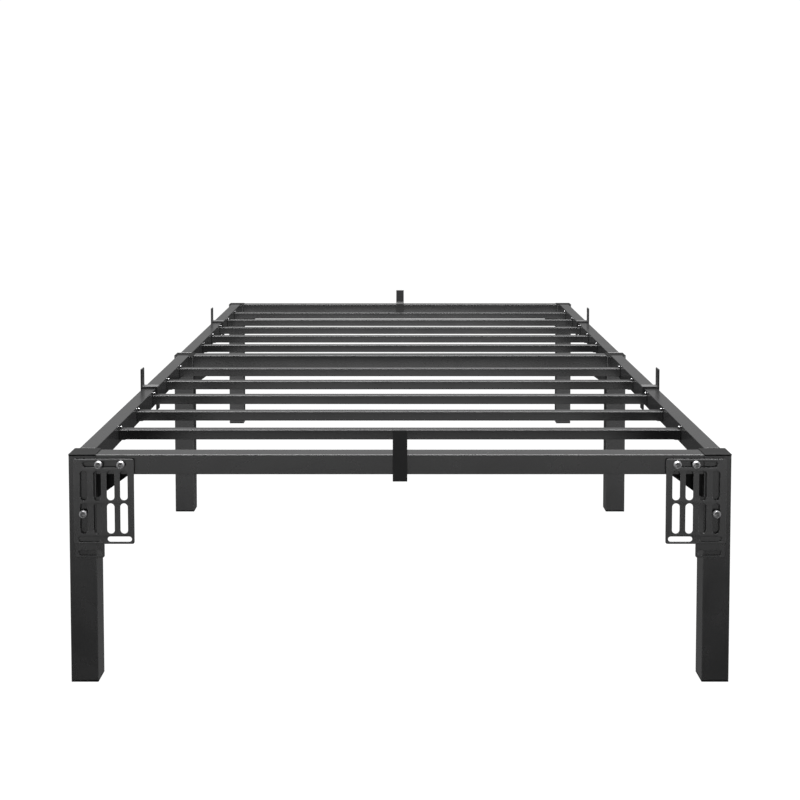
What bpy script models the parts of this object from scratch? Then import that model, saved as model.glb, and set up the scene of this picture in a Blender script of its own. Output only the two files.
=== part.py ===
"""Low metal platform bed frame, single size, in metres, +Z up.

X is the width, Y the length, the head end (with the slotted headboard plates) at -Y.
Z = 0 is the floor. Six square-tube legs carry two pairs of side rails and three cross rails.
Ten flat slats drop onto ledges with upright pins. Six hook-over clips straddle the rails and
stand up past the mattress edge.
"""

import math

import bpy
import bmesh
from mathutils import Vector

# ---------------------------------------------------------------- driving dimensions
GAP = 0.0003                 # clearance between pieces that touch

WIDTH = 0.990                # over the outer faces of the legs
LENGTH = 1.905               # over the end faces of the legs

LEG = 0.041                  # square leg tube
LEG_WALL = 0.0014
LEG_TOP = 0.3445             # top of the leg tube
LEG_CORNER = 0.0012

CAP_TOP = 0.3472             # top of the leg caps
CAP_OVER = 0.0005            # cap overhang past the leg on the frame's outer sides
CAP_PLUG = 0.022             # depth of the cap's plug inside the tube
FOOT = 0.0024                # thickness of the foot pad
FOOT_PLUG = 0.024

SIDE_INSET = 0.0073          # side rail's outer face, in from the leg's outer face
SIDE_W = 0.0250
SIDE_H = 0.0305
SIDE_TOP = 0.3472
RAIL_WALL = 0.0015
RAIL_CORNER = 0.0009

CROSS_D = 0.0350             # cross rail, along the bed
CROSS_H = 0.0296
CROSS_TOP = 0.3461

GUSSET_RUN = 0.0505          # triangular brace, along the cross rail
GUSSET_DROP = 0.0360         # and down the leg
GUSSET_T = 0.0040
GUSSET_SET = 0.0080          # from the rail's head-side face to the brace's mid plane

SLAT_W = 0.0200
SLAT_H = 0.0160
SLAT_TOP = 0.3394
SLAT_WALL = 0.0012
SLAT_CORNER = 0.0008
SLAT_PITCH = 0.1500
SLATS_PER_HALF = 5
SLAT_FIRST_HEAD = 0.2040     # head end of the legs to the first slat's near edge
SLAT_FIRST_FOOT = 1.1305     # the same for the first slat of the foot half

LEDGE_OUT = 0.0100           # narrow shelf under each slat end
LEDGE_W = 0.0110
LEDGE_T = 0.0015
LEDGE_SET = 0.0100           # shelf centre from the slat's near edge
PIN_R = 0.0019               # upright locating pin on the shelf, against the rail
PIN_IN = 0.0022              # pin centre from the rail's inner face
PIN_SET = 0.0065             # pin centre from the slat's near edge
PIN_TOP = 0.3446
NOTCH_R = 0.0026             # round-bottomed notch in the slat's end, open to the rail

CLIP_W = 0.0218              # hook-over clip, along the rail it sits on
CLIP_T = 0.0034
CLIP_TOP = 0.3843
CLIP_BOTTOM = 0.3065
CLIP_CORNER = 0.0010
SIDE_CLIP_HEAD = 0.5350      # head end of the legs to the near edge of the side clips
SIDE_CLIP_FOOT = 1.4720

PLATE_T = 0.0025             # headboard plate
PLATE_OUTER = 0.4867         # its outer edge from the centre line
PLATE_W = 0.0901
PLATE_TOP = 0.3409
PLATE_BOTTOM = 0.2126
PLATE_CORNER = 0.0030
COLUMN_X = (0.4716, 0.4515, 0.4316, 0.4118)
SLOT_W = 0.0114
UPPER_SLOT = (0.2783, 0.3231)
LOWER_SLOT = (0.2279, 0.2740)
TOP_SLOT_X = (0.4082, 0.4733)
TOP_SLOT_Z = (0.3283, 0.3372)
FOOT_SLOTS_X = ((0.4474, 0.4808), (0.4004, 0.4368))
FOOT_SLOT_Z = (0.2156, 0.2238)

BACK_T = 0.0022              # narrow plate between the headboard plate and the leg
BACK_OUTER = 0.4853
BACK_W = 0.0432
BACK_TOP = 0.3405
BACK_BOTTOM = 0.1910
BACK_SLOT_X = (0.4457, 0.4810)
BACK_TOP_SLOT_X = (0.4340, 0.4733)   # runs out through the plate's inner edge
BACK_SLOT_Z = (0.1945, 0.2022)

BOLT_HEAD_R = 0.0063
BOLT_HEAD_H = 0.0046
BOLT_SHANK_R = 0.0029
BOLT_HOLE_R = 0.0033
BOLT_REACH = 0.0100          # shank length past the face it enters
HEX_AF = 0.0050              # hexagon recess across flats
HEX_DEPTH = 0.0026
TOP_BOLTS_X = {"left": (0.4490, 0.4158), "right": (0.4410, 0.4130)}
TOP_BOLT_Z = 0.3323
LEG_BOLT_X = 0.4723
LEG_BOLT_Z = 0.2580

# ---------------------------------------------------------------- derived positions
NEAR = -(2 * GAP + BACK_T + GAP + PLATE_T + BOLT_HEAD_H)
FAR = LENGTH + GAP + CLIP_T
SHIFT = -(NEAR + FAR) / 2    # puts the overall box's centre on Y = 0


def y_at(d):
    """Row Y of a point d metres behind the legs' head-end faces."""
    return d + SHIFT


HALF = WIDTH / 2
RAIL_OUT = HALF - SIDE_INSET
RAIL_IN = RAIL_OUT - SIDE_W
LEG_IN = HALF - LEG
MID_LEG = LENGTH / 2 - LEG / 2
LEG_STARTS = {"head": 0.0, "mid": MID_LEG, "foot": LENGTH - LEG}
CROSS_STARTS = {
    "head": 0.0,
    "mid": LENGTH / 2 - CROSS_D / 2,
    "foot": LENGTH - CROSS_D,
}
SIDES = {"left": -1, "right": 1}

# ---------------------------------------------------------------- scene helpers
for old in list(bpy.data.objects):
    bpy.data.objects.remove(old)

PARTS = bpy.data.collections.new("bed_frame")
CUTTERS = bpy.data.collections.new("cutters")
bpy.context.scene.collection.children.link(PARTS)
bpy.context.scene.collection.children.link(CUTTERS)


def material(name, colour, metallic, roughness):
    made = bpy.data.materials.new(name)
    made.use_nodes = True
    shader = made.node_tree.nodes["Principled BSDF"]
    shader.inputs["Base Color"].default_value = (*colour, 1.0)
    shader.inputs["Metallic"].default_value = metallic
    shader.inputs["Roughness"].default_value = roughness
    return made


LOOKS = {
    "powder_coat": material("powder_coat", (0.045, 0.045, 0.047), 0.2, 0.42),
    "slat_coat": material("slat_coat", (0.050, 0.050, 0.052), 0.2, 0.36),
    "plate_coat": material("plate_coat", (0.040, 0.040, 0.042), 0.2, 0.45),
    "clip_coat": material("clip_coat", (0.030, 0.030, 0.031), 0.1, 0.50),
    "cap_plastic": material("cap_plastic", (0.030, 0.030, 0.031), 0.0, 0.50),
    "bolt_steel": material("bolt_steel", (0.16, 0.16, 0.165), 0.9, 0.35),
}


def to_object(bm, name, look=None, collection=PARTS):
    """A closed bmesh to an object, faces outward."""
    bmesh.ops.recalc_face_normals(bm, faces=bm.faces)
    mesh = bpy.data.meshes.new(name)
    bm.to_mesh(mesh)
    bm.free()
    made = bpy.data.objects.new(name, mesh)
    collection.objects.link(made)
    if look:
        mesh.materials.append(LOOKS[look])
    return made


def set_origin(made, point):
    """Moves an object's origin to a point without moving its shape."""
    point = Vector(point)
    for v in made.data.vertices:
        v.co -= point
    made.location = point


def boolean(made, cutter, operation="DIFFERENCE"):
    step = made.modifiers.new(operation.lower(), "BOOLEAN")
    step.operation = operation
    step.solver = "EXACT"
    step.object = cutter
    cutter.hide_render = True
    cutter.display_type = "WIRE"


def rounded(w, h, r, steps=3):
    """Corner-rounded rectangle centred on the origin, counter-clockwise."""
    ring = []
    for cx, cy, start in (
        (w / 2 - r, h / 2 - r, 0.0),
        (-w / 2 + r, h / 2 - r, 0.5),
        (-w / 2 + r, -h / 2 + r, 1.0),
        (w / 2 - r, -h / 2 + r, 1.5),
    ):
        for i in range(steps + 1):
            a = math.pi * (start + 0.5 * i / steps)
            ring.append((cx + r * math.cos(a), cy + r * math.sin(a)))
    return ring


def stadium(x0, x1, z0, z1, steps=8):
    """Slot outline with round ends along its longer side."""
    w = x1 - x0
    h = z1 - z0
    r = min(w, h) / 2 - 0.00001
    ring = rounded(w, h, r, steps)
    return [(x + (x0 + x1) / 2, z + (z0 + z1) / 2) for x, z in ring]


def placed(axis, u, v, t):
    """A point from its two cross-section coordinates and its place along the axis."""
    if axis == "X":
        return (t, u, v)
    if axis == "Y":
        return (u, t, v)
    return (u, v, t)


def add_prism(bm, ring, axis, t0, t1):
    """A solid prism of one outline between t0 and t1 along an axis."""
    ends = []
    for t in (t0, t1):
        ends.append([bm.verts.new(placed(axis, u, v, t)) for u, v in ring])
    count = len(ring)
    for i in range(count):
        j = (i + 1) % count
        bm.faces.new((ends[0][i], ends[0][j], ends[1][j], ends[1][i]))
    bm.faces.new(ends[0])
    bm.faces.new(ends[1])


def add_tube(bm, w, h, wall, corner, centre, axis, t0, t1):
    """An open-ended rectangular tube with rounded corners."""
    outer = rounded(w, h, corner)
    inner = rounded(w - 2 * wall, h - 2 * wall, max(corner - wall, 0.0006))
    rings = []
    for ring in (outer, inner):
        for t in (t0, t1):
            moved = [(u + centre[0], v + centre[1]) for u, v in ring]
            rings.append([bm.verts.new(placed(axis, u, v, t)) for u, v in moved])
    out0, out1, in0, in1 = rings
    count = len(outer)
    for i in range(count):
        j = (i + 1) % count
        bm.faces.new((out0[i], out0[j], out1[j], out1[i]))
        bm.faces.new((in0[j], in0[i], in1[i], in1[j]))
        bm.faces.new((out0[j], out0[i], in0[i], in0[j]))
        bm.faces.new((out1[i], out1[j], in1[j], in1[i]))


def box_ring(u0, u1, v0, v1):
    return [(u0, v0), (u1, v0), (u1, v1), (u0, v1)]


def circle(cu, cv, r, count=20):
    step = 2 * math.pi / count
    return [(cu + r * math.cos(i * step), cv + r * math.sin(i * step)) for i in range(count)]


def soften(made, width, segments=2):
    """Small rounded edges on a solid's sharp edges."""
    step = made.modifiers.new("soften", "BEVEL")
    step.width = width
    step.segments = segments
    step.limit_method = "ANGLE"
    step.angle_limit = math.radians(50)


# ---------------------------------------------------------------- legs, caps and feet
def leg_hole(end, sign):
    """The head legs' front wall takes the headboard plate's lower bolt."""
    bm = bmesh.new()
    ring = circle(sign * LEG_BOLT_X, LEG_BOLT_Z, BOLT_HOLE_R)
    add_prism(bm, ring, "Y", y_at(-0.004), y_at(0.006))
    return to_object(bm, f"hole_leg_{end}_{sign}", collection=CUTTERS)


for end, start in LEG_STARTS.items():
    for side, sign in SIDES.items():
        cx = sign * (HALF - LEG / 2)
        cy = y_at(start + LEG / 2)
        bm = bmesh.new()
        add_tube(bm, LEG, LEG, LEG_WALL, LEG_CORNER, (cx, cy), "Z", FOOT + GAP, LEG_TOP)
        leg = to_object(bm, f"leg_{end}_{side}", "powder_coat")
        if end == "head":
            boolean(leg, leg_hole(end, sign))

        bore = LEG - 2 * LEG_WALL - 2 * GAP
        lean = {"head": -1, "mid": 0, "foot": 1}[end]
        for kind in ("top_cap", "foot_pad"):
            if kind == "top_cap":
                plate = (LEG_TOP + GAP, CAP_TOP)
                plug = (LEG_TOP + GAP - CAP_PLUG, LEG_TOP + GAP + 0.0010)
                over = CAP_OVER
            else:
                plate = (0.0, FOOT)
                plug = (FOOT - 0.0010, FOOT + FOOT_PLUG)
                over = 0.0
            px = cx + sign * over / 2
            py = cy + lean * over / 2
            ring = rounded(LEG + over, LEG + abs(lean) * over, LEG_CORNER)
            bm = bmesh.new()
            add_prism(bm, [(u + px, v + py) for u, v in ring], "Z", *plate)
            cap = to_object(bm, f"{kind}_{end}_{side}", "cap_plastic")
            soften(cap, 0.0006, 1)
            bm = bmesh.new()
            add_tube(bm, bore, bore, 0.0022, 0.0012, (cx, cy), "Z", *plug)
            insert = to_object(bm, f"plug_{kind}_{end}_{side}", collection=CUTTERS)
            boolean(cap, insert, "UNION")


# ---------------------------------------------------------------- slats
def slat_starts():
    """Near edge of every slat, counted from the head end."""
    found = []
    for first in (SLAT_FIRST_HEAD, SLAT_FIRST_FOOT):
        for i in range(SLATS_PER_HALF):
            found.append(first + i * SLAT_PITCH)
    return found


PIN_X = RAIL_IN - PIN_IN


def notch(sign, cy, steps=10):
    """Outline of a slat-end notch: a half round toward the middle, open outward."""
    ring = [(sign * (RAIL_IN + 0.002), cy - NOTCH_R)]
    for i in range(steps + 1):
        a = math.pi * (i / steps - 0.5)
        ring.append((sign * (PIN_X - NOTCH_R * math.cos(a)), cy + NOTCH_R * math.sin(a)))
    ring.append((sign * (RAIL_IN + 0.002), cy + NOTCH_R))
    return ring


for number, start in enumerate(slat_starts(), 1):
    cy = y_at(start + SLAT_W / 2)
    cz = SLAT_TOP - SLAT_H / 2
    reach = RAIL_IN - GAP
    bm = bmesh.new()
    add_tube(bm, SLAT_W, SLAT_H, SLAT_WALL, SLAT_CORNER, (cy, cz), "X", -reach, reach)
    slat = to_object(bm, f"slat_{number:02d}", "slat_coat")
    bm = bmesh.new()
    for sign in SIDES.values():
        ring = notch(sign, y_at(start + PIN_SET))
        add_prism(bm, ring, "Z", SLAT_TOP - SLAT_H - 0.003, SLAT_TOP + 0.003)
    boolean(slat, to_object(bm, f"notches_{number:02d}", collection=CUTTERS))


# ---------------------------------------------------------------- side rails with shelves
SPANS = {
    "head": (LEG + GAP, MID_LEG - GAP, SLAT_FIRST_HEAD),
    "foot": (MID_LEG + LEG + GAP, LENGTH - LEG - GAP, SLAT_FIRST_FOOT),
}
SHELF_TOP = SLAT_TOP - SLAT_H - GAP
for half, (t0, t1, first) in SPANS.items():
    for side, sign in SIDES.items():
        centre = (sign * (RAIL_OUT - SIDE_W / 2), SIDE_TOP - SIDE_H / 2)
        bm = bmesh.new()
        add_tube(bm, SIDE_W, SIDE_H, RAIL_WALL, RAIL_CORNER, centre, "Y", y_at(t0), y_at(t1))
        rail = to_object(bm, f"side_rail_{half}_{side}", "powder_coat")
        shelves = bmesh.new()
        pins = bmesh.new()
        for i in range(SLATS_PER_HALF):
            near = first + i * SLAT_PITCH
            cy = y_at(near + LEDGE_SET)
            x0, x1 = sorted((sign * (RAIL_IN - LEDGE_OUT), sign * (RAIL_IN + 0.0008)))
            ring = box_ring(x0, x1, cy - LEDGE_W / 2, cy + LEDGE_W / 2)
            add_prism(shelves, ring, "Z", SHELF_TOP - LEDGE_T, SHELF_TOP)
            ring = circle(sign * PIN_X, y_at(near + PIN_SET), PIN_R, 16)
            add_prism(pins, ring, "Z", SHELF_TOP - 0.0008, PIN_TOP)
        cut = to_object(shelves, f"shelves_{half}_{side}", collection=CUTTERS)
        boolean(rail, cut, "UNION")
        cut = to_object(pins, f"pins_{half}_{side}", collection=CUTTERS)
        boolean(rail, cut, "UNION")


# ---------------------------------------------------------------- cross rails with braces
for end, start in CROSS_STARTS.items():
    reach = LEG_IN - GAP
    centre = (y_at(start + CROSS_D / 2), CROSS_TOP - CROSS_H / 2)
    bm = bmesh.new()
    add_tube(bm, CROSS_D, CROSS_H, RAIL_WALL, RAIL_CORNER, centre, "X", -reach, reach)
    rail = to_object(bm, f"cross_rail_{end}", "powder_coat")
    base = CROSS_TOP - CROSS_H
    mid = y_at(start + GUSSET_SET)
    bm = bmesh.new()
    for sign in SIDES.values():
        corner = sign * (reach - 0.0001)
        tip = sign * (LEG_IN - GUSSET_RUN)
        ring = [
            (corner, base + 0.0008),
            (tip, base + 0.0008),
            (tip, base),
            (sign * (reach - 0.0015), base - GUSSET_DROP),
            (corner, base - GUSSET_DROP),
        ]
        add_prism(bm, ring, "Y", mid - GUSSET_T / 2, mid + GUSSET_T / 2)
    boolean(rail, to_object(bm, f"braces_{end}", collection=CUTTERS), "UNION")
    if end == "head":
        bm = bmesh.new()
        for side, sign in SIDES.items():
            for x in TOP_BOLTS_X[side]:
                ring = circle(sign * x, TOP_BOLT_Z, BOLT_HOLE_R)
                add_prism(bm, ring, "Y", y_at(-0.004), y_at(0.006))
        boolean(rail, to_object(bm, "rail_bolt_holes", collection=CUTTERS))


# ---------------------------------------------------------------- headboard plates
BACK_FACE = -GAP - BACK_T
PLATE_FACE = BACK_FACE - GAP - PLATE_T


def slotted_plate(name, outline, slots, d0, d1):
    """A flat upright plate with round-ended slots."""
    bm = bmesh.new()
    add_prism(bm, outline, "Y", y_at(d0), y_at(d1))
    plate = to_object(bm, name, "plate_coat")
    bm = bmesh.new()
    for x0, x1, z0, z1 in slots:
        add_prism(bm, stadium(x0, x1, z0, z1), "Y", y_at(d0 - 0.003), y_at(d1 + 0.003))
    boolean(plate, to_object(bm, f"slots_{name}", collection=CUTTERS))
    return plate


def signed(sign, pair):
    return sorted((sign * pair[0], sign * pair[1]))


for side, sign in SIDES.items():
    slots = []
    for x in COLUMN_X:
        for z0, z1 in (UPPER_SLOT, LOWER_SLOT):
            slots.append((sign * x - SLOT_W / 2, sign * x + SLOT_W / 2, z0, z1))
    slots.append((*signed(sign, TOP_SLOT_X), *TOP_SLOT_Z))
    for pair in FOOT_SLOTS_X:
        slots.append((*signed(sign, pair), *FOOT_SLOT_Z))
    cx = sign * (PLATE_OUTER - PLATE_W / 2)
    cz = (PLATE_TOP + PLATE_BOTTOM) / 2
    ring = rounded(PLATE_W, PLATE_TOP - PLATE_BOTTOM, PLATE_CORNER)
    outline = [(u + cx, v + cz) for u, v in ring]
    slotted_plate(f"headboard_plate_{side}", outline, slots, PLATE_FACE, PLATE_FACE + PLATE_T)

    slots = []
    for x in COLUMN_X[:2]:
        for z0, z1 in (UPPER_SLOT, LOWER_SLOT):
            slots.append((sign * x - SLOT_W / 2, sign * x + SLOT_W / 2, z0, z1))
    slots.append((*signed(sign, BACK_TOP_SLOT_X), *TOP_SLOT_Z))
    slots.append((*signed(sign, BACK_SLOT_X), *BACK_SLOT_Z))
    cx = sign * (BACK_OUTER - BACK_W / 2)
    cz = (BACK_TOP + BACK_BOTTOM) / 2
    ring = rounded(BACK_W, BACK_TOP - BACK_BOTTOM, PLATE_CORNER)
    outline = [(u + cx, v + cz) for u, v in ring]
    slotted_plate(f"back_plate_{side}", outline, slots, BACK_FACE, BACK_FACE + BACK_T)


# ---------------------------------------------------------------- button-head bolts
def bolt(name, x, z):
    """Button head outside the headboard plate, shank through both plates into the frame."""
    under = PLATE_FACE - GAP
    crown = under - BOLT_HEAD_H
    profile = [
        (0.0, crown),
        (BOLT_HEAD_R * 0.48, crown),
        (BOLT_HEAD_R * 0.80, crown + BOLT_HEAD_H * 0.22),
        (BOLT_HEAD_R * 0.97, crown + BOLT_HEAD_H * 0.58),
        (BOLT_HEAD_R, crown + BOLT_HEAD_H * 0.82),
        (BOLT_HEAD_R * 0.97, under),
        (BOLT_SHANK_R, under),
        (BOLT_SHANK_R, BOLT_REACH),
        (0.0, BOLT_REACH),
    ]
    bm = bmesh.new()
    count = 24
    rings = []
    for r, d in profile:
        if r == 0.0:
            rings.append([bm.verts.new((x, y_at(d), z))])
        else:
            rings.append([bm.verts.new((u, y_at(d), v)) for u, v in circle(x, z, r, count)])
    for a, b in zip(rings, rings[1:]):
        for i in range(count):
            j = (i + 1) % count
            if len(a) == 1:
                bm.faces.new((a[0], b[i], b[j]))
            elif len(b) == 1:
                bm.faces.new((a[j], a[i], b[0]))
            else:
                bm.faces.new((a[i], b[i], b[j], a[j]))
    made = to_object(bm, name, "bolt_steel")
    bm = bmesh.new()
    ring = circle(x, z, HEX_AF / math.sqrt(3), 6)
    add_prism(bm, ring, "Y", y_at(crown - 0.002), y_at(crown + HEX_DEPTH))
    boolean(made, to_object(bm, f"hex_{name}", collection=CUTTERS))


for side, sign in SIDES.items():
    bolt(f"bolt_rail_outer_{side}", sign * TOP_BOLTS_X[side][0], TOP_BOLT_Z)
    bolt(f"bolt_rail_inner_{side}", sign * TOP_BOLTS_X[side][1], TOP_BOLT_Z)
    bolt(f"bolt_leg_{side}", sign * LEG_BOLT_X, LEG_BOLT_Z)


# ---------------------------------------------------------------- hook-over clips
def clip_profile(rail_w, rail_top):
    """Outline across the rail: u = 0 on the rail's outer face, growing outward."""
    out0 = GAP
    out1 = GAP + CLIP_T
    in0 = -rail_w - GAP
    in1 = in0 - CLIP_T
    under = rail_top + GAP
    over = under + CLIP_T
    return [
        (out0, CLIP_BOTTOM),
        (out1, CLIP_BOTTOM),
        (out1, CLIP_TOP),
        (out0, CLIP_TOP),
        (out0, over),
        (in1, over),
        (in1, CLIP_BOTTOM),
        (in0, CLIP_BOTTOM),
        (in0, under),
        (out0, under),
    ]


def side_clip(name, sign, start):
    ring = [(sign * (RAIL_OUT + u), v) for u, v in clip_profile(SIDE_W, SIDE_TOP)]
    bm = bmesh.new()
    add_prism(bm, ring, "Y", y_at(start), y_at(start + CLIP_W))
    made = to_object(bm, name, "clip_coat")
    soften(made, 0.0005, 1)
    set_origin(made, (sign * (RAIL_OUT - SIDE_W / 2), y_at(start + CLIP_W / 2), SIDE_TOP))


def end_clip(name, sign, outer):
    ring = [(y_at(outer) + sign * u, v) for u, v in clip_profile(CROSS_D, CROSS_TOP)]
    bm = bmesh.new()
    add_prism(bm, ring, "X", -CLIP_W / 2, CLIP_W / 2)
    made = to_object(bm, name, "clip_coat")
    soften(made, 0.0005, 1)
    set_origin(made, (0.0, y_at(outer) - sign * CROSS_D / 2, CROSS_TOP))


for side, sign in SIDES.items():
    side_clip(f"clip_head_{side}", sign, SIDE_CLIP_HEAD)
    side_clip(f"clip_foot_{side}", sign, SIDE_CLIP_FOOT)
end_clip("clip_head_end", -1, 0.0)
end_clip("clip_foot_end", 1, LENGTH)
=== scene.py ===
import math

import bpy
import bmesh
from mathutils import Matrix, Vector


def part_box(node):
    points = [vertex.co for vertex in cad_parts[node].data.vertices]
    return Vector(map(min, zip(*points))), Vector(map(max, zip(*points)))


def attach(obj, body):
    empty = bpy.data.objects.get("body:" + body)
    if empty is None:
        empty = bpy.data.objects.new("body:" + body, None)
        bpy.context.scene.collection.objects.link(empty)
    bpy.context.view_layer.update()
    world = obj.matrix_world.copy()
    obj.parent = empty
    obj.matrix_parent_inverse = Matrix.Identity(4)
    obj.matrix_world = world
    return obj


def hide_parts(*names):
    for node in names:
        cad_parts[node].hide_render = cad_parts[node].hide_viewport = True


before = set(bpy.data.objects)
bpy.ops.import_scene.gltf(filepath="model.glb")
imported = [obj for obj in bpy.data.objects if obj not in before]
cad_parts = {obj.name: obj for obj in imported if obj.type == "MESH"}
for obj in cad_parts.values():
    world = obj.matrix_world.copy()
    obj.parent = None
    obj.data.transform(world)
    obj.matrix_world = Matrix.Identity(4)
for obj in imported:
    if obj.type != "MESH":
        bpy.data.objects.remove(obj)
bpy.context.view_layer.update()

SIDES = (("left", -1), ("right", 1))
ENDS = ("head", "mid", "foot")
BODY = "frame"
GAP = 0.0003                     # clearance between pieces that touch


# ------------------------------------------------------------------ outlines and meshes
def rounded(w, h, r, steps=6):
    """Corner-rounded rectangle about the origin, counter-clockwise."""
    ring = []
    for cx, cy, start in (
        (w / 2 - r, h / 2 - r, 0.0),
        (-w / 2 + r, h / 2 - r, 0.5),
        (-w / 2 + r, -h / 2 + r, 1.0),
        (w / 2 - r, -h / 2 + r, 1.5),
    ):
        for i in range(steps + 1):
            a = math.pi * (start + 0.5 * i / steps)
            ring.append((cx + r * math.cos(a), cy + r * math.sin(a)))
    return ring


def circle(r, count):
    """Points round the origin, counter-clockwise."""
    step = 2 * math.pi / count
    return [(r * math.cos(i * step), r * math.sin(i * step)) for i in range(count)]


def placed(axis, u, v, t):
    """Point (u, v) of an outline, at t along the axis it is swept on."""
    if axis == "X":
        return (t, u, v)
    if axis == "Y":
        return (u, t, v)
    return (u, v, t)


def loop(bm, ring, axis, t, centre=(0.0, 0.0)):
    """Vertices of an outline moved to a centre, at t along the axis."""
    return [bm.verts.new(placed(axis, u + centre[0], v + centre[1], t)) for u, v in ring]


def bridge(bm, a, b):
    """Faces between two loops of equal count."""
    count = len(a)
    for i in range(count):
        j = (i + 1) % count
        bm.faces.new((a[i], a[j], b[j], b[i]))


def loft(bm, rings):
    """A closed solid through rings of equal count, flat at both ends."""
    for a, b in zip(rings, rings[1:]):
        bridge(bm, a, b)
    bm.faces.new(rings[0])
    bm.faces.new(rings[-1])


def finish_mesh(bm, name, look, body=BODY, replaced=(), sharp=40, weighted=True):
    """One piece from a bmesh; see finish_piece."""
    bmesh.ops.recalc_face_normals(bm, faces=bm.faces)
    mesh = bpy.data.meshes.new(name)
    bm.to_mesh(mesh)
    bm.free()
    return finish_piece(mesh, name, look, body, replaced, sharp, weighted)


def finish_piece(mesh, name, look, body=BODY, replaced=(), sharp=40, weighted=True):
    """One visible piece: shaded smooth up to the sharp angle, riding its body, with its slot named."""
    mesh.polygons.foreach_set("use_smooth", [True] * len(mesh.polygons))
    mesh.set_sharp_from_angle(angle=math.radians(sharp))
    mesh.materials.clear()
    mesh.materials.append(look)
    made = bpy.data.objects.new(name, mesh)
    bpy.context.scene.collection.objects.link(made)
    if weighted:
        step = made.modifiers.new("weighted", "WEIGHTED_NORMAL")
        step.keep_sharp = True
        step.weight = 80
    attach(made, body)
    if replaced:
        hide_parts(*replaced)
    return made


def cut_mesh(mesh, cutter_bm):
    """The mesh with the cutter's closed shapes taken out."""
    cutter_mesh = bpy.data.meshes.new("cutter")
    cutter_bm.to_mesh(cutter_mesh)
    cutter_bm.free()
    host = bpy.data.objects.new("host", mesh)
    cutter = bpy.data.objects.new("cutter", cutter_mesh)
    for o in (host, cutter):
        bpy.context.scene.collection.objects.link(o)
    step = host.modifiers.new("cut", "BOOLEAN")
    step.solver = "EXACT"
    step.object = cutter
    bpy.context.view_layer.update()
    deps = bpy.context.evaluated_depsgraph_get()
    result = bpy.data.meshes.new_from_object(host.evaluated_get(deps))
    bpy.data.objects.remove(host)
    bpy.data.objects.remove(cutter)
    return result


def tube(bm, w, h, wall, corner, centre, axis, t0, t1):
    """Open-ended rectangular tube with rounded corners and eased end edges."""
    lip = 0.0004
    outer = rounded(w, h, corner)
    eased = rounded(w - 2 * lip, h - 2 * lip, corner - lip)
    inner = rounded(w - 2 * wall, h - 2 * wall, max(corner - wall, 0.0006))
    rings = [
        loop(bm, inner, axis, t0, centre),
        loop(bm, eased, axis, t0, centre),
        loop(bm, outer, axis, t0 + lip, centre),
        loop(bm, outer, axis, t1 - lip, centre),
        loop(bm, eased, axis, t1, centre),
        loop(bm, inner, axis, t1, centre),
    ]
    for a, b in zip(rings, rings[1:]):
        bridge(bm, a, b)
    bridge(bm, rings[-1], rings[0])


# ------------------------------------------------------------------ materials
def coat(name, slot, colour, rough, level, grain, bump, spread=0.10, painted_top_highlight=0.0):
    """Baked-on coating: fine orange peel, slow drifts in gloss and colour, and, when a paler grey for the
    tops is given, upward-facing faces painted towards it as a painted highlight.
    """
    made = bpy.data.materials.new(name)
    made.use_nodes = True
    made["slot"] = slot
    tree = made.node_tree
    shader = tree.nodes["Principled BSDF"]
    shader.inputs["Specular IOR Level"].default_value = level
    shader.inputs["Metallic"].default_value = 0.0
    where = tree.nodes.new("ShaderNodeTexCoord")

    def noise(scale, detail):
        n = tree.nodes.new("ShaderNodeTexNoise")
        n.inputs["Scale"].default_value = scale
        n.inputs["Detail"].default_value = detail
        n.inputs["Roughness"].default_value = 0.55
        tree.links.new(where.outputs["Object"], n.inputs["Vector"])
        return n.outputs["Fac"]

    def spread_over(value, low, high, a=0.3, b=0.7):
        n = tree.nodes.new("ShaderNodeMapRange")
        n.inputs["From Min"].default_value = a
        n.inputs["From Max"].default_value = b
        n.inputs["To Min"].default_value = low
        n.inputs["To Max"].default_value = high
        tree.links.new(value, n.inputs["Value"])
        return n.outputs["Result"]

    ramp = tree.nodes.new("ShaderNodeValToRGB")
    for stop, place, shade in zip(ramp.color_ramp.elements, (0.32, 0.68), (1 - spread, 1 + spread)):
        stop.position = place
        stop.color = (*[c * shade for c in colour], 1.0)
    tree.links.new(noise(7.0, 3.0), ramp.inputs["Fac"])
    base = ramp.outputs["Color"]
    # painted highlight: faces turned upward blend towards a paler grey, standing in for light on the tops
    if painted_top_highlight:
        shape = tree.nodes.new("ShaderNodeNewGeometry")
        axes = tree.nodes.new("ShaderNodeSeparateXYZ")
        tree.links.new(shape.outputs["Normal"], axes.inputs["Vector"])
        top_highlight_mix = tree.nodes.new("ShaderNodeMix")
        top_highlight_mix.data_type = "RGBA"
        tree.links.new(spread_over(axes.outputs["Z"], 0.0, 1.0, 0.80, 0.97), top_highlight_mix.inputs["Factor"])
        tree.links.new(base, top_highlight_mix.inputs["A"])
        top_highlight_mix.inputs["B"].default_value = (painted_top_highlight, painted_top_highlight, painted_top_highlight * 1.01, 1.0)
        base = top_highlight_mix.outputs["Result"]
    tree.links.new(base, shader.inputs["Base Color"])
    gloss = spread_over(noise(16.0, 4.0), rough * 0.9, rough * 1.12)
    tree.links.new(gloss, shader.inputs["Roughness"])
    relief = tree.nodes.new("ShaderNodeBump")
    relief.inputs["Strength"].default_value = bump
    relief.inputs["Distance"].default_value = 0.0001
    tree.links.new(noise(grain, 2.0), relief.inputs["Height"])
    tree.links.new(relief.outputs["Normal"], shader.inputs["Normal"])
    return made


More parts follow.
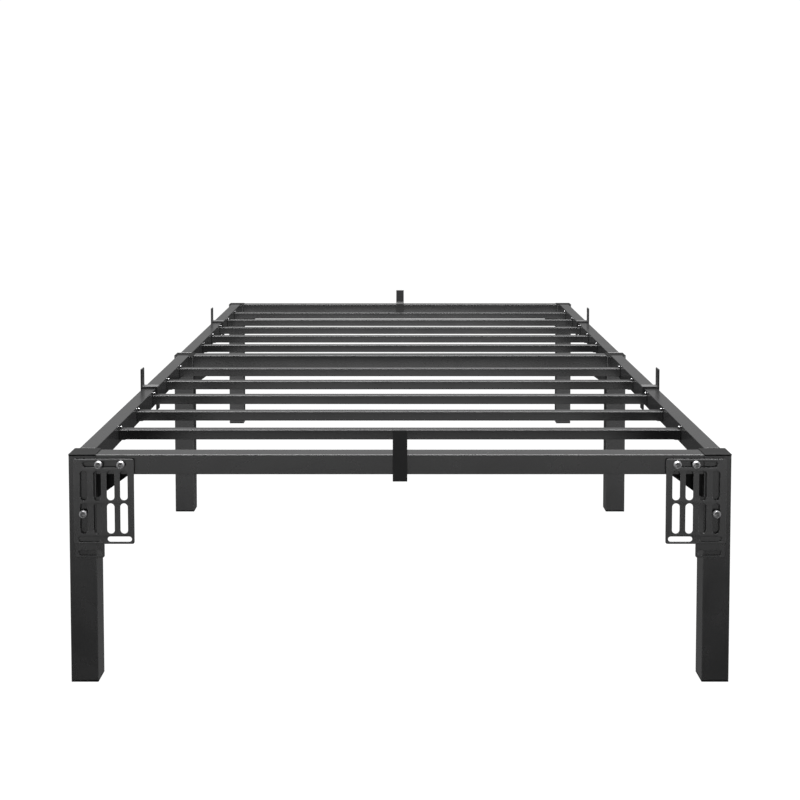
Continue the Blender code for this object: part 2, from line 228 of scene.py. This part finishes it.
# colour, roughness, specular level, grain scale, grain strength
POWDER = coat("satin_powder_coat", "powder_coat", (0.010, 0.010, 0.0103), 0.26, 0.66, 900, 0.08)
SLAT = coat("slat_powder_coat", "slat_coat", (0.009, 0.009, 0.0093), 0.24, 0.64, 900, 0.07)
PLATE = coat("plate_powder_coat", "plate_coat", (0.012, 0.012, 0.0123), 0.27, 0.76, 900, 0.09)
# darker copies of the coat for the braces, as painted shade: the head-end ones deepest, the others less
BRACE_DEEP_SHADE = coat("brace_coat_deep_painted_shade", "powder_coat", (0.003, 0.003, 0.003), 0.50, 0.10, 1100, 0.45, 0.15)
BRACE_LIGHT_SHADE = coat("brace_coat_light_painted_shade", "powder_coat", (0.006, 0.006, 0.0061), 0.38, 0.34, 1000, 0.30)
# the clip's tops carry a painted highlight
CLIP = coat("smooth_clip_coat", "clip_coat", (0.018, 0.018, 0.0183), 0.20, 0.10, 1300, 0.12, painted_top_highlight=0.065)
PLASTIC = coat("moulded_plastic", "cap_plastic", (0.003, 0.003, 0.003), 0.60, 0.12, 2200, 0.30)


def steel(name, slot, colour, rough):
    """Zinc-plated steel, slightly uneven in tone and gloss."""
    made = bpy.data.materials.new(name)
    made.use_nodes = True
    made["slot"] = slot
    tree = made.node_tree
    shader = tree.nodes["Principled BSDF"]
    shader.inputs["Metallic"].default_value = 1.0
    where = tree.nodes.new("ShaderNodeTexCoord")
    n = tree.nodes.new("ShaderNodeTexNoise")
    n.inputs["Scale"].default_value = 420.0
    n.inputs["Detail"].default_value = 3.0
    tree.links.new(where.outputs["Object"], n.inputs["Vector"])
    ramp = tree.nodes.new("ShaderNodeValToRGB")
    for stop, place, shade in zip(ramp.color_ramp.elements, (0.35, 0.65), (0.82, 1.15)):
        stop.position = place
        stop.color = (*[c * shade for c in colour], 1.0)
    tree.links.new(n.outputs["Fac"], ramp.inputs["Fac"])
    tree.links.new(ramp.outputs["Color"], shader.inputs["Base Color"])
    gloss = tree.nodes.new("ShaderNodeMapRange")
    gloss.inputs["To Min"].default_value = rough * 0.8
    gloss.inputs["To Max"].default_value = rough * 1.25
    tree.links.new(n.outputs["Fac"], gloss.inputs["Value"])
    tree.links.new(gloss.outputs["Result"], shader.inputs["Roughness"])
    bump = tree.nodes.new("ShaderNodeBump")
    bump.inputs["Strength"].default_value = 0.15
    bump.inputs["Distance"].default_value = 0.00005
    tree.links.new(n.outputs["Fac"], bump.inputs["Height"])
    tree.links.new(bump.outputs["Normal"], shader.inputs["Normal"])
    return made


STEEL = steel("zinc_plated_steel", "bolt_steel", (0.15, 0.15, 0.152), 0.42)
# a paler copy of the steel for the bolt rims, as a painted highlight
RIM_STEEL_PAINTED_HIGHLIGHT = steel("rim_steel_painted_highlight", "bolt_steel", (0.31, 0.31, 0.316), 0.50)
PIN_STEEL = steel("bright_pin_steel", "bolt_steel", (0.60, 0.60, 0.61), 0.30)


# ------------------------------------------------------------------ legs, caps and feet
LEG_WALL = 0.0014                # tube wall
LEG_CORNER = 0.0012
PLUG_CORNER = 0.0016             # cap and foot plugs inside the leg
PLUG_CLEAR = 0.0006
PLUG_LEAD = 0.0012               # tapered lead-in at each plug's free end
for end in ENDS:
    for side, sign in SIDES:
        node = f"leg_{end}_{side}"
        lo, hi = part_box(node)
        centre = ((lo.x + hi.x) / 2, (lo.y + hi.y) / 2)
        bm = bmesh.new()
        tube(bm, hi.x - lo.x, hi.y - lo.y, LEG_WALL, LEG_CORNER, centre, "Z", lo.z, hi.z)
        finish_mesh(bm, f"{node}_tube", POWDER, replaced=(node,))

        bore = hi.x - lo.x - 2 * LEG_WALL - PLUG_CLEAR
        tip = bore - PLUG_CORNER
        node = f"top_cap_{end}_{side}"
        c_lo, c_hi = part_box(node)
        mid = ((c_lo.x + c_hi.x) / 2, (c_lo.y + c_hi.y) / 2)
        w = c_hi.x - c_lo.x
        h = c_hi.y - c_lo.y
        base = hi.z + GAP
        top = c_hi.z
        bm = bmesh.new()
        rings = [
            loop(bm, rounded(tip, tip, LEG_CORNER), "Z", c_lo.z, centre),
            loop(bm, rounded(bore, bore, PLUG_CORNER), "Z", c_lo.z + PLUG_LEAD, centre),
            loop(bm, rounded(bore, bore, PLUG_CORNER), "Z", base, centre),
        ]
        for inset, z in (
            (0.0004, base),
            (0.0000, base + 0.0004),
            (0.0000, top - 0.0011),
            (0.0003, top - 0.0005),
            (0.0009, top - 0.0001),
            (0.0020, top),
        ):
            ring = rounded(w - 2 * inset, h - 2 * inset, LEG_CORNER + 0.0002 - inset * 0.6)
            rings.append(loop(bm, ring, "Z", z, mid))
        loft(bm, rings)
        finish_mesh(bm, f"{node}_cover", PLASTIC, replaced=(node,))

        node = f"foot_pad_{end}_{side}"
        f_lo, f_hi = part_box(node)
        bm = bmesh.new()
        w = f_hi.x - f_lo.x
        rings = []
        for inset, z in (
            (0.0007, 0.0),
            (0.0002, 0.0002),
            (0.0000, 0.0006),
            (0.0000, 0.0019),
            (0.0003, lo.z - GAP),
        ):
            ring = rounded(w - 2 * inset, w - 2 * inset, LEG_CORNER - inset * 0.6)
            rings.append(loop(bm, ring, "Z", z, centre))
        rings += [
            loop(bm, rounded(bore, bore, PLUG_CORNER), "Z", lo.z - GAP, centre),
            loop(bm, rounded(bore, bore, PLUG_CORNER), "Z", f_hi.z - PLUG_LEAD, centre),
            loop(bm, rounded(tip, tip, LEG_CORNER), "Z", f_hi.z, centre),
        ]
        loft(bm, rings)
        finish_mesh(bm, f"{node}_glide", PLASTIC, replaced=(node,))


# ------------------------------------------------------------------ slats
SLAT_WALL = 0.0012
SLAT_CORNER = 0.0008
SLAT_COUNT = 10
PIN_IN = 0.0019                  # pin centre in from the slat's end
PIN_SET = 0.0065                 # and from the slat's near edge
PIN_R = 0.0019
NOTCH_R = 0.0026
CUT_PAST = 0.003                 # how far the notch cutters stand past the slat
slat_places = []
for number in range(1, SLAT_COUNT + 1):
    node = f"slat_{number:02d}"
    lo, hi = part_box(node)
    centre = ((lo.y + hi.y) / 2, (lo.z + hi.z) / 2)
    slat_places.append((lo.copy(), hi.copy()))
    bm = bmesh.new()
    tube(bm, hi.y - lo.y, hi.z - lo.z, SLAT_WALL, SLAT_CORNER, centre, "X", lo.x, hi.x)
    bmesh.ops.recalc_face_normals(bm, faces=bm.faces)
    mesh = bpy.data.meshes.new(node)
    bm.to_mesh(mesh)
    bm.free()
    cutters = bmesh.new()
    for end_x, sign in ((lo.x, -1), (hi.x, 1)):
        y = lo.y + PIN_SET
        ring = [(end_x + sign * CUT_PAST, y - NOTCH_R)]
        for i in range(13):
            a = math.pi * (i / 12 - 0.5)
            ring.append((end_x - sign * (PIN_IN + NOTCH_R * math.cos(a)), y + NOTCH_R * math.sin(a)))
        ring.append((end_x + sign * CUT_PAST, y + NOTCH_R))
        loft(cutters, [loop(cutters, ring, "Z", z) for z in (lo.z - CUT_PAST, hi.z + CUT_PAST)])
    bmesh.ops.recalc_face_normals(cutters, faces=cutters.faces)
    finish_piece(cut_mesh(mesh, cutters), f"{node}_tube", SLAT, replaced=(node,))


# ------------------------------------------------------------------ rails, shelves and braces
RAIL_WALL = 0.0015
RAIL_CORNER = 0.0009
SIDE_W = 0.0250                  # side rail's width
LEDGE_OUT = 0.0100               # slat shelf: reach from the rail,
LEDGE_T = 0.0015                 # thickness,
LEDGE_W = 0.0110                 # width along the rail,
LEDGE_SET = 0.0100               # and its middle from the slat's near edge
PIN_TOP = 0.3446                 # pin heads above the floor
WELD_IN = 0.0006                 # shelf's reach into the rail's wall


def bead(bm, a, b, r, waves):
    """A rippled weld bead from a to b, half sunk in the corner that it fills."""
    a = Vector(a)
    b = Vector(b)
    run = (b - a).normalized()
    side = run.orthogonal().normalized()
    other = run.cross(side)
    count = 8
    steps = waves * 4
    rings = []
    for i in range(steps + 1):
        t = i / steps
        fade = min(1.0, 6 * t, 6 * (1 - t)) ** 0.5 * 0.8 + 0.2
        size = r * fade * (1.0 + 0.10 * math.cos(2 * math.pi * waves * t))
        at = a.lerp(b, t)
        ring = []
        for k in range(count):
            ang = 2 * math.pi * k / count
            ring.append(bm.verts.new(at + size * (math.cos(ang) * side + math.sin(ang) * other)))
        rings.append(ring)
    loft(bm, rings)


def pin(bm, x, y, z0, z1, r):
    """Upright stud below its head."""
    loft(bm, [loop(bm, circle(r, 20), "Z", z, (x, y)) for z in (z0, z1)])


def pin_head(bm, x, y, z1, r, thick):
    """Low domed head of a locating pin."""
    rings = []
    for k, drop in ((0.86, 1.0), (1.0, 0.7), (0.98, 0.45), (0.86, 0.2), (0.6, 0.0)):
        rings.append(loop(bm, circle(r * k, 24), "Z", z1 - drop * thick, (x, y)))
    loft(bm, rings)


def shelf(bm, x_face, sign, y, z_top):
    """Pressed shelf under a slat's end, rounded at its free corners."""
    x0 = x_face - sign * LEDGE_OUT
    x1 = x_face + sign * WELD_IN
    cx = (x0 + x1) / 2
    w = abs(x1 - x0)
    rings = []
    for inset, z in (
        (0.0003, z_top - LEDGE_T),
        (0.0, z_top - LEDGE_T + 0.0003),
        (0.0, z_top - 0.0003),
        (0.0003, z_top),
    ):
        ring = rounded(w - 2 * inset, LEDGE_W - 2 * inset, 0.0024 - inset, 4)
        rings.append(loop(bm, ring, "Z", z, (cx, y)))
    loft(bm, rings)


for half in ("head", "foot"):
    for side, sign in SIDES:
        node = f"side_rail_{half}_{side}"
        lo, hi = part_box(node)
        outer = lo.x if sign < 0 else hi.x
        inner = outer - sign * SIDE_W
        centre = ((outer + inner) / 2, (lo.z + hi.z) / 2)
        bm = bmesh.new()
        tube(bm, SIDE_W, hi.z - lo.z, RAIL_WALL, RAIL_CORNER, centre, "Y", lo.y, hi.y)
        finish_mesh(bm, f"{node}_tube", POWDER, replaced=(node,))
        bm = bmesh.new()
        heads = bmesh.new()
        for s_lo, s_hi in slat_places:
            y = s_lo.y + LEDGE_SET
            if not lo.y < y < hi.y:
                continue
            z_top = s_lo.z - GAP
            shelf(bm, inner, sign, y, z_top)
            end_x = s_lo.x if sign < 0 else s_hi.x
            at = (end_x - sign * PIN_IN, s_lo.y + PIN_SET)
            pin(bm, *at, z_top - 0.0008, PIN_TOP - 0.0012, PIN_R * 0.7)
            pin_head(heads, *at, PIN_TOP, PIN_R * 1.1, 0.0014)
            under = z_top - LEDGE_T
            reach = LEDGE_W / 2 - 0.001
            weld = [(inner - sign * 0.0003, y + way * reach, under - 0.0002) for way in (-1, 1)]
            bead(bm, *weld, 0.0008, 5)
        finish_mesh(bm, f"{node}_shelves", POWDER, weighted=False)
        finish_mesh(heads, f"{node}_pin_heads", PIN_STEEL, weighted=False)

GUSSET_T = 0.0040                # brace plate
GUSSET_SET = 0.0080              # from the rail's head-side face to the brace's mid plane
GUSSET_RUN = 0.0505              # along the rail's underside
GUSSET_WELD = 0.0006             # overlap with the rail's underside
CROSS_H = 0.0296                 # cross rail's height
for end in ENDS:
    node = f"cross_rail_{end}"
    lo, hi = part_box(node)
    centre = ((lo.y + hi.y) / 2, hi.z - CROSS_H / 2)
    bm = bmesh.new()
    tube(bm, hi.y - lo.y, CROSS_H, RAIL_WALL, RAIL_CORNER, centre, "X", lo.x, hi.x)
    finish_mesh(bm, f"{node}_tube", POWDER, replaced=(node,))
    base = hi.z - CROSS_H
    y = lo.y + GUSSET_SET
    bm = bmesh.new()
    for side, sign in SIDES:
        wall = sign * (hi.x - 0.0001)
        tip = sign * (hi.x + GAP - GUSSET_RUN)
        outline = [
            (wall, base + GUSSET_WELD),
            (tip, base + GUSSET_WELD),
            (tip + sign * 0.0004, base - GUSSET_WELD),
            (wall - sign * 0.0018, lo.z + 0.0004),
            (wall - sign * 0.0008, lo.z),
            (wall, lo.z),
        ]
        cu = sum(p[0] for p in outline) / len(outline)
        cv = sum(p[1] for p in outline) / len(outline)
        rings = []
        for inset, dy in ((0.0005, -0.5), (0.0, -0.375), (0.0, 0.375), (0.0005, 0.5)):
            ring = []
            for u, v in outline:
                away = Vector((cu - u, cv - v)).normalized() * inset
                ring.append((u + away.x, v + away.y))
            rings.append(loop(bm, ring, "Y", y + dy * GUSSET_T))
        loft(bm, rings)
        for dy in (-0.5, 0.5):
            yb = y + dy * (GUSSET_T + 0.0006)
            zb = base - 0.0001
            bead(bm, (wall - sign * 0.004, yb, zb), (tip + sign * 0.004, yb, zb), 0.0011, 16)
    # painted shade: the head-end braces take the darkest copy of the coat
    coating = BRACE_DEEP_SHADE if end == "head" else BRACE_LIGHT_SHADE
    finish_mesh(bm, f"{node}_braces", coating, sharp=30, weighted=False)


# ------------------------------------------------------------------ slotted plates
# slots as distances from the centre line and heights above the floor
COLUMN_X = (0.4716, 0.4515, 0.4316, 0.4118)
SLOT_W = 0.0114
UPPER_SLOT = (0.2783, 0.3231)
LOWER_SLOT = (0.2279, 0.2740)
TOP_SLOT_X = (0.4082, 0.4733)
TOP_SLOT_Z = (0.3283, 0.3372)
FOOT_SLOTS_X = ((0.4474, 0.4808), (0.4004, 0.4368))
FOOT_SLOT_Z = (0.2156, 0.2238)
BACK_SLOT_X = (0.4457, 0.4810)
BACK_SLOT_Z = (0.1945, 0.2022)
EASE = 0.00045                   # rounding of every cut edge
SHEET_CORNER = 0.0030


def open_slot_outline(lo, hi):
    """Plate outline whose top slot runs out through the edge nearer the centre line."""
    w = hi.x - lo.x
    h = hi.z - lo.z
    cx = abs(lo.x + hi.x) / 2
    cz = (lo.z + hi.z) / 2
    ring = rounded(w, h, SHEET_CORNER, 5)
    r = (TOP_SLOT_Z[1] - TOP_SLOT_Z[0]) / 2
    end = TOP_SLOT_X[1] - r - cx
    mid = (TOP_SLOT_Z[0] + TOP_SLOT_Z[1]) / 2 - cz
    notch = [(-w / 2, mid + r)]
    for i in range(13):
        a = math.pi * (0.5 - i / 12)
        notch.append((end + r * math.cos(a), mid + r * math.sin(a)))
    notch.append((-w / 2, mid - r))
    ring = ring[:12] + notch + ring[12:]     # between the two corners nearer the centre line
    if lo.x < 0:
        ring = [(-u, v) for u, v in reversed(ring)]
    return ring


def sheet_plate(name, node, slots, look, open_top=False):
    """Pressed sheet with round-ended slots, every edge eased."""
    lo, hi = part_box(node)
    plain_edge = rounded(hi.x - lo.x, hi.z - lo.z, SHEET_CORNER, 5)
    edge = open_slot_outline(lo, hi) if open_top else plain_edge
    curve = bpy.data.curves.new(name, "CURVE")
    curve.dimensions = "2D"
    curve.fill_mode = "BOTH"
    curve.extrude = (hi.y - lo.y) / 2 - EASE
    curve.bevel_depth = EASE
    curve.bevel_resolution = 2
    curve.offset = -EASE
    rings = [[(u + (lo.x + hi.x) / 2, v + (lo.z + hi.z) / 2) for u, v in edge]]
    for x0, x1, z0, z1 in slots:
        w = x1 - x0
        h = z1 - z0
        ring = rounded(w, h, min(w, h) / 2 - 0.00001, 8)
        rings.append([(u + (x0 + x1) / 2, v + (z0 + z1) / 2) for u, v in ring])
    for ring in rings:
        line = curve.splines.new("POLY")
        line.points.add(len(ring) - 1)
        for p, (u, v) in zip(line.points, ring):
            p.co = (u, v, 0.0, 1.0)
        line.use_cyclic_u = True
    made = bpy.data.objects.new(name, curve)
    bpy.context.scene.collection.objects.link(made)
    bpy.context.view_layer.update()
    deps = bpy.context.evaluated_depsgraph_get()
    mesh = bpy.data.meshes.new_from_object(made.evaluated_get(deps))
    bpy.data.objects.remove(made)
    mid_y = (lo.y + hi.y) / 2
    for v in mesh.vertices:
        v.co = Vector((v.co.x, mid_y - v.co.z, v.co.y))
    bm = bmesh.new()
    bm.from_mesh(mesh)
    bmesh.ops.remove_doubles(bm, verts=bm.verts, dist=0.000005)
    finish_mesh(bm, name, look, replaced=(node,), sharp=50)


def signed(sign, pair):
    """A pair of distances from the centre line, as low and high X on one side."""
    return sorted((sign * pair[0], sign * pair[1]))


for side, sign in SIDES:
    for node, columns, extra in (
        (f"headboard_plate_{side}", COLUMN_X, (
            (TOP_SLOT_X, TOP_SLOT_Z), (FOOT_SLOTS_X[0], FOOT_SLOT_Z), (FOOT_SLOTS_X[1], FOOT_SLOT_Z))),
        (f"back_plate_{side}", COLUMN_X[:2], ((BACK_SLOT_X, BACK_SLOT_Z),)),
    ):
        slots = []
        for x in columns:
            for z0, z1 in (UPPER_SLOT, LOWER_SLOT):
                slots.append((sign * x - SLOT_W / 2, sign * x + SLOT_W / 2, z0, z1))
        for xs, zs in extra:
            slots.append((*signed(sign, xs), *zs))
        sheet_plate(f"{node}_sheet", node, slots, PLATE, node.startswith("back"))


# ------------------------------------------------------------------ bolts
BOLT_HEAD_H = 0.0046             # height of the button head
SHANK_R = 0.0029
HEX_AF = 0.0050                  # hexagon recess across flats
BOLT_FACETS = 48


def hexagon(af, count):
    """Hexagon about the origin, with as many points as the circles that it is bridged to."""
    ring = []
    for i in range(count):
        a = 2 * math.pi * i / count
        turn = (a % (math.pi / 3)) - math.pi / 6
        r = af / 2 / math.cos(turn)
        ring.append((r * math.cos(a), r * math.sin(a)))
    return ring


def bolt(node):
    """Button head with a hexagon recess and a rounded rim in a paler copy of the steel as a painted
    highlight, and the shank behind it.
    """
    lo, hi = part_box(node)
    x = (lo.x + hi.x) / 2
    z = (lo.z + hi.z) / 2
    r = (hi.x - lo.x) / 2
    crown = lo.y
    recess = hexagon(HEX_AF, BOLT_FACETS)
    foot = [(u * 0.95, v * 0.95) for u, v in recess]
    bm = bmesh.new()
    loft(bm, [loop(bm, ring, "Y", y, (x, z)) for ring, y in (
        (circle(0.0004, BOLT_FACETS), crown + 0.0032),
        (foot, crown + 0.0026),
        (recess, crown + 0.0003),
        (circle(HEX_AF / 2 * 1.22, BOLT_FACETS), crown + 0.0001),
        (circle(r * 0.66, BOLT_FACETS), crown + 0.00025),
        (circle(r * 0.66, BOLT_FACETS), crown + BOLT_HEAD_H),
        (circle(SHANK_R, BOLT_FACETS), crown + BOLT_HEAD_H),
        (circle(SHANK_R, BOLT_FACETS), hi.y - 0.0006),
        (circle(SHANK_R - 0.0006, BOLT_FACETS), hi.y),
    )])
    finish_mesh(bm, f"{node}_screw", STEEL, replaced=(node,), sharp=35, weighted=False)
    bm = bmesh.new()
    rings = []
    for k, dy in (
        (0.662, BOLT_HEAD_H), (0.662, 0.0002), (0.70, 0.0), (0.76, 0.0002), (0.83, 0.0008),
        (0.90, 0.0016), (0.96, 0.0026), (1.00, 0.0038), (0.99, 0.0044), (0.97, BOLT_HEAD_H),
    ):
        rings.append(loop(bm, circle(r * k, BOLT_FACETS), "Y", crown + dy, (x, z)))
    for a, b in zip(rings, rings[1:] + rings[:1]):
        bridge(bm, a, b)
    # painted highlight: the rim takes the paler copy of the steel
    finish_mesh(bm, f"{node}_rim", RIM_STEEL_PAINTED_HIGHLIGHT, sharp=50, weighted=False)


for side, _ in SIDES:
    for kind in ("rail_outer", "rail_inner", "leg"):
        bolt(f"bolt_{kind}_{side}")


# ------------------------------------------------------------------ hook-over clips
CLIP_T = 0.0034                  # flat bar
CLIP_BEND = 0.0022               # outer radius over the rail's inner edge
CLIP_TIP = 0.0016                # rounding at the stand-up leg's top
CLIP_ROOT = 0.0008               # fillet where the strap meets the stand-up leg


def arc(cx, cz, r, a0, a1, count=6):
    """Points along a circle, from a0 to a1 degrees."""
    out = []
    for i in range(count + 1):
        a = math.radians(a0 + (a1 - a0) * i / count)
        out.append((cx + r * math.cos(a), cz + r * math.sin(a)))
    return out


def clip(node, axis, sign):
    """Bent flat-bar clip: stand-up leg outside, strap over the rail and hook inside."""
    lo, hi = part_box(node)
    across = (lo.x, hi.x) if axis == "Y" else (lo.y, hi.y)
    along = (lo.y, hi.y) if axis == "Y" else (lo.x, hi.x)
    outer = across[0] if sign < 0 else across[1]
    inner = across[1] if sign < 0 else across[0]
    span = abs(outer - inner)
    rail_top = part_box("side_rail_head_left" if axis == "Y" else "cross_rail_head")[1].z
    under = rail_top + GAP
    over = under + CLIP_T
    root = CLIP_T + CLIP_ROOT
    tip = hi.z - CLIP_TIP
    # the first number runs inward from the stand-up leg's outer face, the second is the height
    profile = [(0.0, lo.z), (CLIP_T, lo.z), (CLIP_T, under)]
    profile += [(span - CLIP_T - 0.0004, under), (span - CLIP_T, under - 0.0004)]
    profile += [(span - CLIP_T, lo.z), (span, lo.z)]
    profile += arc(span - CLIP_BEND, over - CLIP_BEND, CLIP_BEND, 0, 90)
    profile += arc(root, over + CLIP_ROOT, CLIP_ROOT, 270, 180, 4)
    profile += arc(CLIP_T - CLIP_TIP, tip, CLIP_TIP, 0, 90, 4)
    profile += arc(CLIP_TIP, tip, CLIP_TIP, 90, 180, 4)
    ring = [(outer - sign * u, v) for u, v in profile]
    bm = bmesh.new()
    rings = [loop(bm, ring, axis, t) for t in along]
    loft(bm, rings)
    made = finish_mesh(bm, f"{node}_hook", CLIP, body=node, replaced=(node,), weighted=False)
    step = made.modifiers.new("ease", "BEVEL")
    step.width = 0.0004
    step.segments = 3
    step.limit_method = "ANGLE"
    step.angle_limit = math.radians(60)
    step = made.modifiers.new("weighted", "WEIGHTED_NORMAL")
    step.keep_sharp = True


for side, sign in SIDES:
    clip(f"clip_head_{side}", "Y", sign)
    clip(f"clip_foot_{side}", "Y", sign)
clip("clip_head_end", "X", -1)
clip("clip_foot_end", "X", 1)


# ------------------------------------------------------------------ floor, light and camera
def plain(name, colour, rough, glow):
    """Matt paint that also glows, so that the floor stays an even white."""
    made = bpy.data.materials.new(name)
    made.use_nodes = True
    shader = made.node_tree.nodes["Principled BSDF"]
    shader.inputs["Base Color"].default_value = (*colour, 1.0)
    shader.inputs["Roughness"].default_value = rough
    shader.inputs["Specular IOR Level"].default_value = 0.0
    shader.inputs["Emission Color"].default_value = (1.0, 1.0, 1.0, 1.0)
    shader.inputs["Emission Strength"].default_value = glow
    return made


bm = bmesh.new()
bmesh.ops.create_grid(bm, x_segments=4, y_segments=4, size=60.0)
floor_mesh = bpy.data.meshes.new("studio_floor")
bm.to_mesh(floor_mesh)
bm.free()
floor_mesh.materials.append(plain("studio_floor_paint", (0.02, 0.02, 0.02), 0.9, 1.0))
floor = bpy.data.objects.new("studio_floor", floor_mesh)
floor.location.z = -0.0002
bpy.context.scene.collection.objects.link(floor)
floor.visible_glossy = False
floor.visible_diffuse = False

world = bpy.data.worlds.new("studio")
world.use_nodes = True
bpy.context.scene.world = world
tree = world.node_tree
room = tree.nodes["Background"]
where = tree.nodes.new("ShaderNodeTexCoord")
split = tree.nodes.new("ShaderNodeSeparateXYZ")
tree.links.new(where.outputs["Generated"], split.inputs["Vector"])
height = tree.nodes.new("ShaderNodeMapRange")     # 0 straight down, 1 straight up
height.inputs["From Min"].default_value = -1.0
height.inputs["From Max"].default_value = 1.0
tree.links.new(split.outputs["Z"], height.inputs["Value"])


def half_room(stops):
    """Brightness of one half of the room by how high one looks, from -1 down to 1 up."""
    node = tree.nodes.new("ShaderNodeValToRGB")
    ramp = node.color_ramp
    while len(ramp.elements) < len(stops):
        ramp.elements.new(0.5)
    for element, (z, value) in zip(ramp.elements, stops):
        element.position = (z + 1) / 2
        element.color = (value, value, value, 1.0)
    tree.links.new(height.outputs["Result"], node.inputs["Fac"])
    return node.outputs["Color"]


head_side = half_room((
    (-1.00, 0.16), (-0.50, 0.13), (-0.42, 0.05), (-0.37, 0.022), (-0.33, 0.05), (-0.29, 0.11),
    (-0.26, 0.17), (-0.23, 0.23), (-0.19, 0.30), (-0.16, 0.52), (-0.13, 1.20), (0.00, 1.50),
    (0.05, 0.25), (1.00, 0.19),
))
foot_side = half_room((
    (-1.00, 0.16), (-0.50, 0.14), (-0.42, 0.11), (-0.36, 0.09), (-0.27, 0.08), (-0.22, 0.04),
    (-0.19, 0.010), (-0.04, 0.010), (0.02, 0.05), (0.07, 0.18), (0.20, 0.19), (1.00, 0.17),
))
facing = tree.nodes.new("ShaderNodeMapRange")     # 0 to the head end, 1 to the foot end
facing.inputs["From Min"].default_value = -0.25
facing.inputs["From Max"].default_value = 0.25
tree.links.new(split.outputs["Y"], facing.inputs["Value"])
room_light = tree.nodes.new("ShaderNodeMix")
room_light.data_type = "RGBA"
tree.links.new(facing.outputs["Result"], room_light.inputs["Factor"])
tree.links.new(head_side, room_light.inputs["A"])
tree.links.new(foot_side, room_light.inputs["B"])
flank = tree.nodes.new("ShaderNodeMath")          # how squarely one looks to either side
flank.operation = "ABSOLUTE"
tree.links.new(split.outputs["X"], flank.inputs[0])
gain = tree.nodes.new("ShaderNodeMapRange")       # brighter side walls, for light lines on edges
gain.inputs["From Min"].default_value = 0.50
gain.inputs["From Max"].default_value = 0.85
gain.inputs["To Min"].default_value = 1.0
gain.inputs["To Max"].default_value = 2.4
tree.links.new(flank.outputs["Value"], gain.inputs["Value"])
walls = tree.nodes.new("ShaderNodeVectorMath")
walls.operation = "SCALE"
tree.links.new(room_light.outputs["Result"], walls.inputs[0])
tree.links.new(gain.outputs["Result"], walls.inputs["Scale"])
tree.links.new(walls.outputs["Vector"], room.inputs["Color"])
room.inputs["Strength"].default_value = 2.0
sweep = tree.nodes.new("ShaderNodeBackground")    # the plain pale sweep behind the part
sweep.inputs["Color"].default_value = (1.0, 1.0, 1.0, 1.0)
sweep.inputs["Strength"].default_value = 1.05
ray = tree.nodes.new("ShaderNodeLightPath")
pick = tree.nodes.new("ShaderNodeMixShader")
tree.links.new(ray.outputs["Is Camera Ray"], pick.inputs["Fac"])
tree.links.new(room.outputs["Background"], pick.inputs[1])
tree.links.new(sweep.outputs["Background"], pick.inputs[2])
tree.links.new(pick.outputs["Shader"], tree.nodes["World Output"].inputs["Surface"])


def softbox(name, at, aim, size, power):
    """Rectangular area light at one point, facing another."""
    light = bpy.data.lights.new(name, "AREA")
    light.shape = "RECTANGLE"
    light.size, light.size_y = size
    light.energy = power
    made = bpy.data.objects.new(name, light)
    made.location = at
    made.rotation_euler = (Vector(aim) - Vector(at)).to_track_quat("-Z", "Y").to_euler()
    bpy.context.scene.collection.objects.link(made)


softbox("overhead", at=(0.0, -0.35, 2.7), aim=(0.0, -0.35, 0.3), size=(2.6, 1.9), power=330.0)

PITCH = 3.166                    # degrees below level
LENS = 59.8005                   # on a sensor 36 mm wide
SHIFT_UP = -0.226625             # of the sensor's width
STAND_BACK = 1.9604              # from the legs' head-end faces
EYE_HEIGHT = 0.8074
camera_data = bpy.data.cameras.new("camera")
camera_data.sensor_width = 36.0
camera_data.lens = LENS
camera_data.shift_y = SHIFT_UP
camera_data.clip_end = 200.0
camera = bpy.data.objects.new("camera", camera_data)
camera.location = (0.0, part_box("leg_head_left")[0].y - STAND_BACK, EYE_HEIGHT)
camera.rotation_euler = (math.radians(90 - PITCH), 0.0, 0.0)
bpy.context.scene.collection.objects.link(camera)
bpy.context.scene.camera = camera
bpy.context.scene.view_settings.view_transform = "Standard"
bpy.context.scene.view_settings.look = "None"
